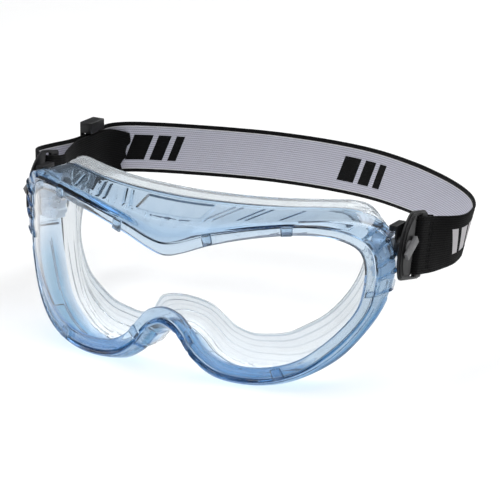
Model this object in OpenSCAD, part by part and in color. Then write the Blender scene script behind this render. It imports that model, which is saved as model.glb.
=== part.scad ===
// Safety goggles with a wide clear lens, a flexible frame and a woven head strap.
// X runs to the wearer's left, Y from the front to the back and Z up. The origin is below the
// middle of the whole box, at the height of the surface that the goggles stand on.

/* [Frame] */
// Thickness of the frame's moulded wall
wall_t = 2.2; // [1.8:0.1:2.8]
// Depth of the groove that the lens sits in
groove_d = 2.5; // [2.4:0.1:3]
// Thickness of the hooks that hold the lens in
hook_t = 1.5; // [1.2:0.1:2]

/* [Lens] */
// Thickness of the lens
lens_t = 2.2; // [1.6:0.1:2.2]

/* [Face seal] */
// Thickness of the soft lip that meets the face
seal_t = 1.8; // [1.4:0.1:2.2]

/* [Strap] */
// Width of the woven strap
strap_w = 24; // [20:1:25]
// Thickness of the woven strap
strap_t = 1.2; // [0.9:0.1:1.4]

/* [Swivel] */
// Radius of the swivel post
post_r = 3; // [2.5:0.1:3.2]
// Running gap between the post and the strap clip
post_gap = 0.1; // [0.05:0.01:0.1]
// Thickness of the strap clip
clip_t = 2; // [1.6:0.1:2]

/* [Hidden] */
$fn = 48;

// Colours
blue = [0.45, 0.65, 0.88, 0.7];
clear = [0.85, 0.9, 0.93, 0.4];
cream = [0.88, 0.88, 0.84, 0.8];
black = [0.08, 0.08, 0.09];
grey = [0.6, 0.6, 0.64];

// Half outlines, from the top middle round the wearer's left to the nose, one point for each
// of the same stations. The other half is their mirror image.
// Edge of the opening that the wearer looks through: x, z
LIP = [
    [0, 56.3], [8, 58.3], [20, 63.2], [32, 67], [44, 69.8], [56, 71.4], [66, 70.8], [73, 68],
    [77.3, 63.5], [78.8, 56], [78.3, 47], [76.6, 39.5], [72.5, 32.5], [66, 25], [57.5, 18.3],
    [47, 14.6], [36, 13.6], [26, 15.2], [18.2, 19.8], [12.8, 26.4], [7.5, 31.8], [0, 33.9]
];
// Edge of the groove round the lens: x, z
WALL = [
    [0, 62.5], [7, 63.8], [18.5, 68], [31, 71.3], [43.5, 74], [56, 75.6], [67, 75], [75.8, 71.4],
    [81.3, 65.2], [83, 56], [82.4, 46.5], [80.5, 38], [76, 29.8], [69, 21.6], [60, 14.5],
    [48.3, 10.3], [36, 9.2], [24.2, 10.8], [15, 16.4], [9.6, 23.5], [5.2, 27.7], [0, 29.4]
];
// Crest of the frame's outer face: x, y, z
CREST = [
    [0, -1, 72.5], [8, -0.8, 72.5], [20, 0.2, 73.5], [32, 1.8, 74.8], [44, 5, 76],
    [56, 9.5, 77], [68.5, 16.5, 77.2], [79.5, 23.5, 75.2], [86, 28.8, 70.5], [88.7, 33, 58.5],
    [87.8, 32.2, 47.5], [84, 30, 37], [77.5, 25, 26], [71, 19.5, 18], [61.5, 13, 11.3],
    [49.5, 9, 6.3], [36, 6, 4.4], [23, 4.5, 6], [13, 3.5, 12], [8, 3, 18], [4.2, 2.5, 21.7],
    [0, 2, 23]
];
// Rear edge of the frame, where the face seal starts: x, y, z
REAR = [
    [0, 17, 77.5], [9, 17.3, 77.6], [21, 18.6, 77.7], [33, 21, 77.8], [45, 25, 77.9],
    [57, 31, 77.9], [67.5, 37, 77.3], [75.3, 41.5, 74.2], [81, 45.8, 67.5], [83, 47.5, 57],
    [81.8, 46.3, 46], [78.3, 44, 35], [73, 39.5, 25], [66, 34, 16.5], [56, 28.5, 10],
    [46, 24.5, 5.6], [35, 21, 4.3], [24, 18.5, 5.6], [15, 17, 10], [9.5, 16.5, 15.5],
    [5, 16, 19], [0, 16, 20.5]
];
// Outer edge of the face seal's lip: x, y, z
SEAL_OUT = [
    [0, 25.5, 79.2], [9, 25.7, 79.3], [21, 27, 79.4], [33, 29.5, 79.5], [45, 33.5, 79.7],
    [56.5, 39, 79.8], [65.5, 44, 79.5], [71.2, 47.5, 76.8], [73.8, 50.3, 69.5],
    [76, 52.5, 58], [76, 52.8, 46], [73.8, 50.5, 34], [69.5, 46.5, 23], [63.5, 42.5, 14.2],
    [55.5, 39, 7.6], [46.5, 36, 4.3], [35.5, 32, 4.1], [25, 27.5, 5.2], [16, 25, 9.4],
    [10.5, 24, 15.5], [6, 23.5, 19.8], [0, 23.5, 21.5]
];
// Inner edge of the face seal's lip: x, y, z
SEAL_IN = [
    [0, 28, 71], [9, 28.2, 71], [21, 29.5, 71.2], [32, 32, 71.5], [43, 36, 71.5],
    [52.5, 41, 71.5], [60, 46, 70.3], [64.5, 49.8, 66.5], [67.2, 50.6, 61], [68.6, 47.2, 55.6],
    [68.2, 44, 49.4], [66.2, 40.6, 43.2], [62.2, 37.2, 36.6], [57, 34, 31], [50.2, 31.8, 26.4],
    [42.6, 30.2, 22.2], [34.2, 29.2, 20.2], [26.6, 27.8, 19.8], [20, 25.6, 22.6],
    [16.5, 23, 27], [11, 20, 32.5], [0, 19, 34.5]
];
last = len(LIP) - 1;
// Height, in the outlines, of the surface that the goggles stand on
stand_z = 4.6;

// Hooks over the lens's edge: station and half width
HOOKS = [[2.17, 0.17], [4.85, 0.17], [10.1, 0.22], [14.7, 0.19], [18.6, 0.26]];
hook_reach = 0.72;
hook_step = 0.03;
station_gap = 0.36;

// Swivel, at the wearer's left: the post lies along X
pivot_y = 41;
pivot_z = 63.5;
frame_flat_x = 86.4;
outrigger_x = [86.5, 89.1];
outrigger_arm = 1;
clip_x = 89.5;
clip_tilt = 12;
anchor_x = 77;
anchor_rib = 0.8;
anchor_gap = 0.3;
head_gap = 0.3;
washer_t = 1.2;
// Strap's slot in the clip: from its front edge to its rear edge, half its length and its middle
slot_x = [4.9, 9.1];
slot_end = 13;
slot_y = 0.5;
// Stretch of the strap, to each side of a clip's slot, that leans with the clip
lean_reach = 4;
slot_near = 8;
slot_far = 43;
// Where the strap rolls outwards on its way round the wearer's left, how far and how much
roll_at = 16.8;
roll_reach = 4.5;
roll_most = 15;

// Route of the strap's middle line from its sewn end to its cut end: x, y, z
STRAP = [
    [94, 73.5, 57.9], [93.1, 69, 58.6], [91.6, 64.5, 59.4], [89.3, 60.5, 60.1], [88.5, 56.3, 60.8],
    [88.4, 51.4, 61.8], [88.6, 48.7, 62.4], [89.3, 47.6, 62.6], [90.5, 47, 62.75],
    [91.7, 47.6, 62.6], [92.4, 48.7, 62.4], [92.6, 51.4, 61.8], [92.7, 56.3, 60.8], [93.2, 60.6, 60],
    [94, 65.3, 59.2], [95.1, 70.3, 58.6], [96.1, 76, 58.1], [95.9, 83, 57.8], [93.4, 93.5, 57.9],
    [87.8, 103.5, 58.4], [78.6, 112.8, 59], [65, 122, 59.8], [47, 131.5, 60.4], [25, 139.5, 60.8],
    [0, 143.5, 60.9], [-25, 143.3, 60.8], [-48, 140, 60.5], [-68, 134.8, 60.4], [-84, 129.4, 60.3],
    [-95, 124, 60.2], [-100.6, 117.8, 60], [-101.9, 110, 59.3], [-101.9, 101, 59],
    [-101.9, 93, 59], [-102.7, 86, 59.2], [-104.2, 78, 59.6], [-105, 70, 60.1],
    [-104, 63.5, 60.7], [-101, 58.3, 61.2], [-96.8, 54.2, 61.7], [-93.6, 51, 62],
    [-92.3, 48.5, 62.4], [-91.7, 47.6, 62.6], [-90.5, 47, 62.75], [-89.3, 47.6, 62.6],
    [-88.6, 48.7, 62.4], [-88.4, 51.4, 61.8], [-88.4, 57.5, 60.7], [-89.3, 62.8, 59.9],
    [-92.2, 69, 59.4], [-95.5, 77, 59.1], [-98.2, 85.5, 59], [-98.9, 93, 59], [-98.9, 101, 59],
    [-98.9, 110, 59], [-98, 116, 58.1], [-95.2, 121.5, 56]
];

// Slider on the doubled stretch of the strap, which runs along Y there
slider_x = -100.4;
slider_y = 104;
slider_z = 59.4;
slider_l = 11.5;
slider_h = 34.6;
slider_rail = 4.4;
slider_bar = 3;
// Reach of the slider from its middle: outwards and inwards
slider_reach = [3.8, 2.5];

// Depth of the lens's front bend at a distance from the middle
function front(x) = 0.0014 * x * x + 4.4e-7 * pow(x, 4);

// Smooth curve through four points, at u from the second to the third
function spline(a, b, c, d, u) =
    (2 * b + (c - a) * u + (2 * a - 5 * b + 4 * c - d) * u * u
    + (3 * b - a - 3 * c + d) * u * u * u) / 2;

function flip(p) = [for (i = [0:len(p) - 1]) i == 0 ? -p[0] : p[i]];

// Point of a half outline at station t
function on_half(pts, t) =
    let (i = min(floor(t), last - 1))
    let (before = i == 0 ? flip(pts[1]) : pts[i - 1])
    let (after = i + 2 > last ? flip(pts[last - 1]) : pts[i + 2])
    spline(before, pts[i], pts[i + 1], after, t - i);

// Point of a whole outline at station s, which runs on round the wearer's right to 2 * last
function on_ring(pts, s) = s <= last ? on_half(pts, s) : flip(on_half(pts, 2 * last - s));

function mix(a, b, u) = a * (1 - u) + b * u;

// A lens plane point, x and z, set back by d from the lens's bend
function bent(p, d) = [p[0], front(p[0]) + d, p[1]];

// A point moved by d in the XZ plane towards another
function inwards(p, q, d) =
    let (v = [q[0] - p[0], 0, q[2] - p[2]])
    p + v * (d / norm(v));

// Stations from a up to b, b left out
function fill(a, b) =
    let (n = max(1, ceil((b - a) / station_gap)))
    [for (i = [0:n - 1]) a + (b - a) * i / n];

function hook_edges(h) =
    [h[0] - h[1] - hook_step, h[0] - h[1], h[0] + h[1], h[0] + h[1] + hook_step];

half_stations = [
    each fill(0, hook_edges(HOOKS[0])[0]),
    for (i = [0:len(HOOKS) - 1])
        let (e = hook_edges(HOOKS[i]))
        let (next = i + 1 < len(HOOKS) ? hook_edges(HOOKS[i + 1])[0] : last)
        each concat([e[0], e[1], e[2]], fill(e[3], next))
];
frame_stations = concat(
    half_stations,
    [last],
    [for (i = [len(half_stations) - 1:-1:1]) 2 * last - half_stations[i]]
);
seal_step = 0.5;
seal_stations = [for (i = [0:2 * last / seal_step - 1]) i * seal_step];

function hooked(s) =
    let (t = min(s, 2 * last - s))
    len([for (h = HOOKS) if (abs(t - h[0]) <= h[1] + 0.001) 1]) > 0;

// The frame's section at station s, in order round it
function frame_section(s) =
    let (lip = on_ring(LIP, s))
    let (edge = on_ring(WALL, s))
    let (crest = on_ring(CREST, s))
    let (rear = on_ring(REAR, s))
    let (middle = bent(lip, 0))
    let (tip = mix(edge, lip, hooked(s) ? hook_reach : 0.05))
    let (shoulder = mix(edge, [crest[0], crest[2]], 0.3))
    [
        middle,
        bent(edge, 0),
        bent(edge, -groove_d),
        bent(tip, -groove_d),
        bent(mix(tip, edge, 0.1), -groove_d - hook_t),
        bent(shoulder, -groove_d - 1),
        crest,
        rear,
        inwards(rear, middle, wall_t),
        inwards(crest, middle, wall_t) + [0, wall_t, 0],
        bent(mix(edge, lip, 0.35), wall_t + 0.3),
        bent(lip, wall_t - 0.3)
    ];

// The face seal's section at station s, in order round it
function seal_section(s) =
    let (rear = on_ring(REAR, s))
    let (middle = bent(on_ring(LIP, s), 0))
    let (out = on_ring(SEAL_OUT, s))
    let (in = on_ring(SEAL_IN, s))
    let (share = seal_t / norm([in[0] - out[0], in[2] - out[2]]))
    [
        rear + [0, 0.1, 0],
        out,
        in,
        in - [0, seal_t, 0],
        mix(out, in, share) - [0, seal_t, 0],
        inwards(rear, middle, seal_t) + [0, 0.1, 0]
    ];

strap_step = 0.5;
strap_last = len(STRAP) - 1;

function on_strap(t) =
    let (i = min(floor(t), strap_last - 1))
    let (a = STRAP[max(i - 1, 0)])
    let (d = STRAP[min(i + 2, strap_last)])
    spline(a, STRAP[i], STRAP[i + 1], d, t - i);

function unit(v) = v / norm(v);

function strap_section(t, w, th, out = 0) =
    let (e = 0.02)
    let (p = on_strap(t))
    let (along = unit(on_strap(min(t + e, strap_last)) - on_strap(max(t - e, 0))))
    let (near = min(abs(t - slot_near), abs(t - slot_far)) / lean_reach)
    let (lean = clip_tilt * max(0, min(1, 2 - 2 * near)))
    let (upright = [0, sin(lean), cos(lean)])
    let (rise = unit(upright - along * (along * upright)))
    let (roll = roll_most * pow(max(0, 1 - pow((t - roll_at) / roll_reach, 2)), 2))
    let (up = rise * cos(roll) - cross(rise, along) * sin(roll))
    let (side = cross(up, along))
    let (m = p + side * out)
    [
        m - side * th / 2 - up * w / 2,
        m + side * th / 2 - up * w / 2,
        m + side * th / 2 + up * w / 2,
        m - side * th / 2 + up * w / 2
    ];

frame_sections = [for (s = frame_stations) frame_section(s)];
strap_sections = [for (i = [0:strap_last / strap_step]) strap_section(i * strap_step, strap_w, strap_t)];

// Middle of the whole box: the strap reaches furthest along X, the frame's front and the strap
// along Y
strap_xs = [for (s = strap_sections) each [for (p = s) p[0]]];
mid_x = (min(strap_xs) + max(strap_xs)) / 2;
front_y = min([for (s = frame_sections) each [for (p = s) p[1]]]);
back_y = max([for (s = strap_sections) each [for (p = s) p[1]]]);

// Moves what is drawn on the outlines to the part's own origin
module place() {
    translate([-mid_x, -(front_y + back_y) / 2, -stand_z]) children();
}

// Takes off what would reach below the standing surface, which leaves flats to stand on
module stood() {
    difference() {
        children();
        translate([-150, -50, stand_z - 20]) cube([300, 250, 20]);
    }
}

// Solid ring through sections that close on themselves
module ring_solid(sections) {
    m = len(sections[0]);
    n = len(sections);
    points = [for (s = sections) each s];
    faces = [
        for (i = [0:n - 1])
            for (j = [0:m - 1])
                let (a = i * m + j)
                let (b = i * m + (j + 1) % m)
                let (c = ((i + 1) % n) * m + (j + 1) % m)
                let (d = ((i + 1) % n) * m + j)
                each [[a, b, c], [a, c, d]]
    ];
    polyhedron(points, faces);
}

// Solid bar through sections with two flat ends
module bar_solid(sections) {
    m = len(sections[0]);
    n = len(sections);
    points = [for (s = sections) each s];
    sides = [
        for (i = [0:n - 2])
            for (j = [0:m - 1])
                let (a = i * m + j)
                let (b = i * m + (j + 1) % m)
                each [[a, b, b + m], [a, b + m, a + m]]
    ];
    ends = [[for (j = [m - 1:-1:0]) j], [for (j = [0:m - 1]) (n - 1) * m + j]];
    polyhedron(points, concat(sides, ends));
}

// Runs along X through a point of the left side, from x0 to x1
module x_rod(r, x0, x1, y = pivot_y, z = pivot_z) {
    translate([x0, y, z]) rotate([0, 90, 0]) cylinder(h = x1 - x0, r = r);
}

module both_sides() {
    children();
    mirror([1, 0, 0]) children();
}

module frame_shell() {
    pocket = [10, 22, 34];
    pocket_front = pivot_y - 4.4;
    pocket_low = 50;
    color(blue)
        place() stood() difference() {
            ring_solid(frame_sections);
            both_sides() {
                translate([frame_flat_x, pocket_front, pocket_low]) cube(pocket);
                x_rod(post_r + post_gap, 70, 92);
            }
        }
}

// The lens fills the groove: columns of equal x between its upper and lower edge
lens_inset = 0.12;
lens_columns = 52;
lens_reach = 77;

function lens_edge(t) = mix(on_half(WALL, t), on_half(LIP, t), lens_inset);

lens_half = [for (i = [0:0.25:last]) lens_edge(i)];
lens_far = max([for (p = lens_half) p[0]]);
lens_turn = [for (i = [0:len(lens_half) - 1]) if (lens_half[i][0] == lens_far) i][0];
lens_top = [for (i = [0:lens_turn]) lens_half[i]];
lens_low = [for (i = [len(lens_half) - 1:-1:lens_turn]) lens_half[i]];

function lens_column(x) =
    let (top = lookup(abs(x), lens_top))
    let (low = lookup(abs(x), lens_low))
    let (back = (lens_t - groove_d) / 2)
    [
        [x, front(x) + back, low],
        [x, front(x) + back, top],
        [x, front(x) + back - lens_t, top],
        [x, front(x) + back - lens_t, low]
    ];

module lens() {
    color(clear)
        place() bar_solid([
            for (i = [0:lens_columns])
                let (turn = lens_reach * (2 * i / lens_columns - 1))
                lens_column(lens_far * sin(turn) / sin(lens_reach + 1))
        ]);
}

module face_seal() {
    color(cream) place() stood() ring_solid([for (s = seal_stations) seal_section(s)]);
}

// Strip with slanted ribs that turns the air under the brow
vent_reach = 4.9;
vent_t = 1.2;
vent_gap = 0.3;
vent_ribs = 12;

function brow_line(t, depth, drop) =
    let (s = t < 0 ? -t : t)
    let (middle = bent(on_half(LIP, s), 0))
    let (a = inwards(on_half(CREST, s), middle, wall_t) + [0, wall_t, 0])
    let (b = inwards(on_half(REAR, s), middle, wall_t))
    let (p = mix(a, b, depth) - [0, 0, drop])
    t < 0 ? flip(p) : p;

// The strip's sections slant outwards to the back, as its ribs do
function brow_slant(t) = 0.4 * t / (abs(t) + 0.4);

function brow_section(t, high) =
    let (far = t + brow_slant(t))
    [
        brow_line(t, 0.18, vent_gap + high),
        brow_line(far, 0.84, vent_gap + high),
        brow_line(far, 0.84, vent_gap),
        brow_line(t, 0.18, vent_gap)
    ];

module brow_vent_insert() {
    rib_w = 0.09;
    rib_h = 4.4;
    edge = 0.01;
    rib_gap = 2 * vent_reach / vent_ribs;
    color(blue)
        place() bar_solid([
            brow_section(-vent_reach, vent_t),
            for (i = [0:vent_ribs - 1])
                let (t = rib_gap * (i + 0.5) - vent_reach)
                each [
                    brow_section(t - rib_w - edge, vent_t),
                    brow_section(t - rib_w, rib_h),
                    brow_section(t + rib_w, rib_h),
                    brow_section(t + rib_w + edge, vent_t),
                    brow_section(t + rib_gap / 2, vent_t)
                ]
        ]);
}

// Plate with ribs over the air gap in one cheek, at the wearer's left
module cheek_vent_insert() {
    corner = [28, 10, 8.1];
    sheet = [16, 8, 1.6];
    rib = [1.4, 8, 3];
    rib_inset = 0.4;
    rib_pitch = 4.6;
    color(blue)
        translate(corner) {
            cube(sheet);
            for (i = [0:3])
                translate([rib_inset + i * rib_pitch, 0, 1])
                    cube(rib);
        }
}

module cheek_vent_insert_left() {
    place() cheek_vent_insert();
}

module cheek_vent_insert_right() {
    place() mirror([1, 0, 0]) cheek_vent_insert();
}

// Ribbed block behind the frame's side wall that spreads the strap's pull, bored for the post
function anchor_section(s, x) =
    let (middle = bent(on_half(LIP, s), 0))
    let (a = inwards(on_half(CREST, s), middle, wall_t) + [0, wall_t, 0])
    let (b = inwards(on_half(REAR, s), middle, wall_t))
    let (p = mix(a, b, 0.15))
    let (q = mix(a, b, 0.75))
    [[x, p[1], p[2]], p - [anchor_gap, 0, 0], q - [anchor_gap, 0, 0], [x, q[1], q[2]]];

module side_anchor() {
    top = 7.7;
    rib = 0.2;
    edge = 0.02;
    color(blue)
        difference() {
            bar_solid([
                for (i = [0:4])
                    let (s = top + 2 * i * rib)
                    each [
                        anchor_section(s, anchor_x - anchor_rib),
                        anchor_section(s + rib - edge, anchor_x - anchor_rib),
                        anchor_section(s + rib, anchor_x),
                        anchor_section(s + 2 * rib - edge, anchor_x)
                    ]
            ]);
            x_rod(post_r + post_gap, 70, 92);
        }
}

module side_anchor_left() {
    place() side_anchor();
}

module side_anchor_right() {
    place() mirror([1, 0, 0]) side_anchor();
}

// Arm on the frame's flat that carries the post, with a boss that holds the clip off the frame
module outrigger() {
    arm_w = 7.2;
    arm_top = 70.4;
    lug = [3.6, 9, 2.4];
    boss_r = 4.3;
    color(black)
        difference() {
            union() {
                x_rod(boss_r, outrigger_x[0], outrigger_x[1]);
                translate([outrigger_x[0], pivot_y - arm_w / 2, pivot_z])
                    cube([outrigger_arm, arm_w, arm_top - pivot_z + lug[2]]);
                translate([outrigger_x[0] + outrigger_arm - lug[0], pivot_y - arm_w / 2, arm_top])
                    cube(lug);
            }
            x_rod(post_r + post_gap, 70, 92);
        }
}

module outrigger_left() {
    place() outrigger();
}

module outrigger_right() {
    place() mirror([1, 0, 0]) outrigger();
}

// Post with a cross bar for a head, which the clip's slot drops over
module swivel_post() {
    head_x = clip_x + clip_t + head_gap;
    head = [1.5, 3.2, 10.6];
    color(grey) {
        x_rod(post_r, anchor_x - anchor_rib - washer_t - 1.2, head_x + 0.2);
        translate([head_x, pivot_y, pivot_z])
            rotate([-58, 0, 0])
                translate([0, -head[1] / 2, -head[2] / 2])
                    cube(head);
    }
}

module swivel_post_left() {
    place() swivel_post();
}

module swivel_post_right() {
    place() mirror([1, 0, 0]) swivel_post();
}

// Push-on washer that keeps the post in its anchor
module post_washer() {
    washer_x = anchor_x - anchor_rib - 0.05;
    washer_r = 5.2;
    color(grey)
        difference() {
            x_rod(washer_r, washer_x - washer_t, washer_x);
            x_rod(post_r + 0.02, washer_x - washer_t - 1, washer_x + 1);
        }
}

module post_washer_left() {
    place() post_washer();
}

module post_washer_right() {
    place() mirror([1, 0, 0]) post_washer();
}

// Outline of the clip's plate: an arc in front and three straight sides
module clip_outline() {
    arc_r = 22.9;
    arc_middle = [16.5, -2.6];
    plate_end = 15.3;
    plate_y = [-13.8, 14.8];
    corner_r = 2;
    offset(r = corner_r) offset(delta = -corner_r)
        intersection() {
            translate(arc_middle) circle(r = arc_r);
            translate([-20, plate_y[0]]) square([20 + plate_end, plate_y[1] - plate_y[0]]);
        }
}

// D-shaped plate: bored for the post, with a slot for its head and one for the strap
module strap_clip() {
    boss_r = 5;
    boss_h = 0.25;
    head_slot = [3.8, 11.4];
    color(black)
        translate([clip_x, pivot_y, pivot_z])
            rotate([-clip_tilt, 0, 0])
                rotate([90, 0, 90])
                    difference() {
                        union() {
                            linear_extrude(clip_t) clip_outline();
                            cylinder(h = clip_t + boss_h, r = boss_r);
                        }
                        translate([0, 0, -1]) cylinder(h = clip_t + 3, r = post_r + post_gap);
                        translate([-head_slot[0] / 2, -head_slot[1] / 2, -1])
                            cube([head_slot[0], head_slot[1], clip_t + 3]);
                        translate([slot_x[0], slot_y - slot_end, -1])
                            cube([slot_x[1] - slot_x[0], 2 * slot_end, clip_t + 3]);
                    }
}

module strap_clip_left() {
    place() strap_clip();
}

module strap_clip_right() {
    place() mirror([1, 0, 0]) strap_clip();
}

// Woven strap: a flat band that follows its route on edge
module head_strap() {
    color(grey)
        place() bar_solid(strap_sections);
}

// Rows of thread that hold the strap's sewn end
module loop_stitching() {
    thread = 0.3;
    color(black)
        place() for (t = [11.75, 12.2])
            bar_solid([
                for (i = [0:1])
                    strap_section(t + i * 0.12, strap_w - 4, thread, -strap_t / 2 - thread / 2 - 0.02)
            ]);
}

// Ladder slider: two rails, a bar between the strap's layers and two bars outside them
module strap_slider() {
    middle_t = 1.2;
    outer_t = 1.2;
    depth = slider_reach[0] + slider_reach[1];
    color(black)
        place() translate([slider_x, slider_y, slider_z]) {
            for (z = [-slider_h / 2, slider_h / 2 - slider_rail])
                translate([-slider_reach[0], -slider_l / 2, z])
                    cube([depth, slider_l, slider_rail]);
            translate([-middle_t / 2, -slider_bar / 2, -slider_h / 2])
                cube([middle_t, slider_bar, slider_h]);
            for (y = [-slider_l / 2, slider_l / 2 - slider_bar])
                translate([-slider_reach[0], y, -slider_h / 2])
                    cube([outer_t, slider_bar, slider_h]);
        }
}

frame_shell();
lens();
face_seal();
brow_vent_insert();
cheek_vent_insert_left();
cheek_vent_insert_right();
side_anchor_left();
side_anchor_right();
outrigger_left();
outrigger_right();
swivel_post_left();
swivel_post_right();
post_washer_left();
post_washer_right();
strap_clip_left();
strap_clip_right();
head_strap();
loop_stitching();
strap_slider();
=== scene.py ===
import math
from contextlib import contextmanager

import bmesh
import bpy
import numpy as np
from mathutils import Matrix, Vector


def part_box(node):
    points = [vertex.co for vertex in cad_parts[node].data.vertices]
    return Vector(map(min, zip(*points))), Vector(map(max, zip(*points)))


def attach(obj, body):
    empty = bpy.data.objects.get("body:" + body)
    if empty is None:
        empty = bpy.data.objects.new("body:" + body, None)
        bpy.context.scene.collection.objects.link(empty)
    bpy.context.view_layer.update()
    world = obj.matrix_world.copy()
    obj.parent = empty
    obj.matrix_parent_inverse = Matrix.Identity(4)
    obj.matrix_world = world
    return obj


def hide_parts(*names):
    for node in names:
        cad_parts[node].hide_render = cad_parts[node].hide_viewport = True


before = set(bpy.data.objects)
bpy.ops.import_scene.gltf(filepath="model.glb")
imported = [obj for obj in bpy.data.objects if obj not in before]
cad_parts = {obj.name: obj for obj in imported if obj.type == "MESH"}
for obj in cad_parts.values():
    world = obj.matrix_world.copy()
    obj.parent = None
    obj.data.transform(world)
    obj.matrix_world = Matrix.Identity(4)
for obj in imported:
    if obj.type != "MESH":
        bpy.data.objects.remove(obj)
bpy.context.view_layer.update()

MM = 0.001

# The outlines below are in millimetres about the frame's own middle, as in the CAD model.
# This is where that middle lies in the part's frame.
FRONT_Y = -4.0
STAND_Z = 4.6
shell_low, shell_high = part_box("frame_shell")
ORIGIN = np.array([
    (shell_low.x + shell_high.x) / 2,
    shell_low.y - FRONT_Y * MM,
    -STAND_Z * MM,
])


# ---------------------------------------------------------------- outlines

# Half outlines of the frame, from the top middle round the wearer's left to the nose, with
# one point at each station
LIP = [
    [0, 56.3], [8, 58.3], [20, 63.2], [32, 67], [44, 69.8], [56, 71.4], [66, 70.8], [73, 68],
    [77.3, 63.5], [78.8, 56], [78.3, 47], [76.6, 39.5], [72.5, 32.5], [66, 25], [57.5, 18.3],
    [47, 14.6], [36, 13.6], [26, 15.2], [18.2, 19.8], [12.8, 26.4], [7.5, 31.8], [0, 33.9],
]
WALL = [
    [0, 62.5], [7, 63.8], [18.5, 68], [31, 71.3], [43.5, 74], [56, 75.6], [67, 75], [75.8, 71.4],
    [81.3, 65.2], [83, 56], [82.4, 46.5], [80.5, 38], [76, 29.8], [69, 21.6], [60, 14.5],
    [48.3, 10.3], [36, 9.2], [24.2, 10.8], [15, 16.4], [9.6, 23.5], [5.2, 27.7], [0, 29.4],
]
CREST = [
    [0, -1, 72.5], [8, -0.8, 72.5], [20, 0.2, 73.5], [32, 1.8, 74.8], [44, 5, 76],
    [56, 9.5, 77], [68.5, 16.5, 77.2], [79.5, 23.5, 75.2], [86, 28.8, 70.5], [88.7, 33, 58.5],
    [87.8, 32.2, 47.5], [84, 30, 37], [77.5, 25, 26], [71, 19.5, 18], [61.5, 13, 11.3],
    [49.5, 9, 6.3], [36, 6, 4.4], [23, 4.5, 6], [13, 3.5, 12], [8, 3, 18], [4.2, 2.5, 21.7],
    [0, 2, 23],
]
REAR = [
    [0, 17, 77.5], [9, 17.3, 77.6], [21, 18.6, 77.7], [33, 21, 77.8], [45, 25, 77.9],
    [57, 31, 77.9], [67.5, 37, 77.3], [75.3, 41.5, 74.2], [81, 45.8, 67.5], [83, 47.5, 57],
    [81.8, 46.3, 46], [78.3, 44, 35], [73, 39.5, 25], [66, 34, 16.5], [56, 28.5, 10],
    [46, 24.5, 5.6], [35, 21, 4.3], [24, 18.5, 5.6], [15, 17, 10], [9.5, 16.5, 15.5],
    [5, 16, 19], [0, 16, 20.5],
]
SEAL_OUT = [
    [0, 25.5, 79.2], [9, 25.7, 79.3], [21, 27, 79.4], [33, 29.5, 79.5], [45, 33.5, 79.7],
    [56.5, 39, 79.8], [65.5, 44, 79.5], [71.2, 47.5, 76.8], [73.8, 50.3, 69.5],
    [76, 52.5, 58], [76, 52.8, 46], [73.8, 50.5, 34], [69.5, 46.5, 23], [63.5, 42.5, 14.2],
    [55.5, 39, 7.6], [46.5, 36, 4.3], [35.5, 32, 4.1], [25, 27.5, 5.2], [16, 25, 9.4],
    [10.5, 24, 15.5], [6, 23.5, 19.8], [0, 23.5, 21.5],
]
SEAL_IN = [
    (0, 28, 71), (9, 28.2, 71), (21, 29.5, 71.2), (32, 32, 71.5), (43, 36, 71.5),
    (52.5, 41, 71.5), (60, 46, 70.3), (64.5, 49.8, 66.5), (67.2, 50.6, 61), (68.6, 47.2, 55.6),
    (68.2, 44, 49.4), (66.2, 40.6, 43.2), (62.2, 37.2, 36.6), (57, 34, 31), (50.2, 31.8, 26.4),
    (42.6, 30.2, 22.2), (34.2, 29.2, 20.2), (26.6, 27.8, 19.8), (20, 25.6, 22.6),
    (16.5, 23, 27), (11, 20, 32.5), (0, 19, 34.5),
]
LAST = len(LIP) - 1

# The lens's front bend: its depth is BEND_2 * x ** 2 + BEND_4 * x ** 4
BEND_2 = 0.0014
BEND_4 = 4.4e-7

# Sizes of the moulded frame, in millimetres
WALL_T = 2.2
GROOVE_D = 2.5
HOOK_T = 1.5
# Hooks over the lens's edge: station, half width and reach towards the lip, from 0 to 1
HOOKS = [
    (2.17, 2.1, 0.9), (4.85, 2.1, 0.9), (10.1, 1.3, 0.45), (14.7, 2.1, 0.9), (18.6, 2.1, 0.9),
]
LENS_T = 2.0

# Swivel and strap clip
PIVOT_Y = 41
PIVOT_Z = 63.5
CLIP_X = 89.5
CLIP_T = 2
BAR_INSET = 0.05
CLIP_TILT = 12
# Places along the strap's route where it passes through the clips' slots
SLOTS_AT = [8, 43]
# How far along the route from a slot the strap still leans with the clip
LEAN_REACH = 4
# Where the strap rolls outwards on its way round the wearer's left, how far and how much
ROLL_AT = 16.8
ROLL_REACH = 4.5
ROLL_MOST = 15

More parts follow.
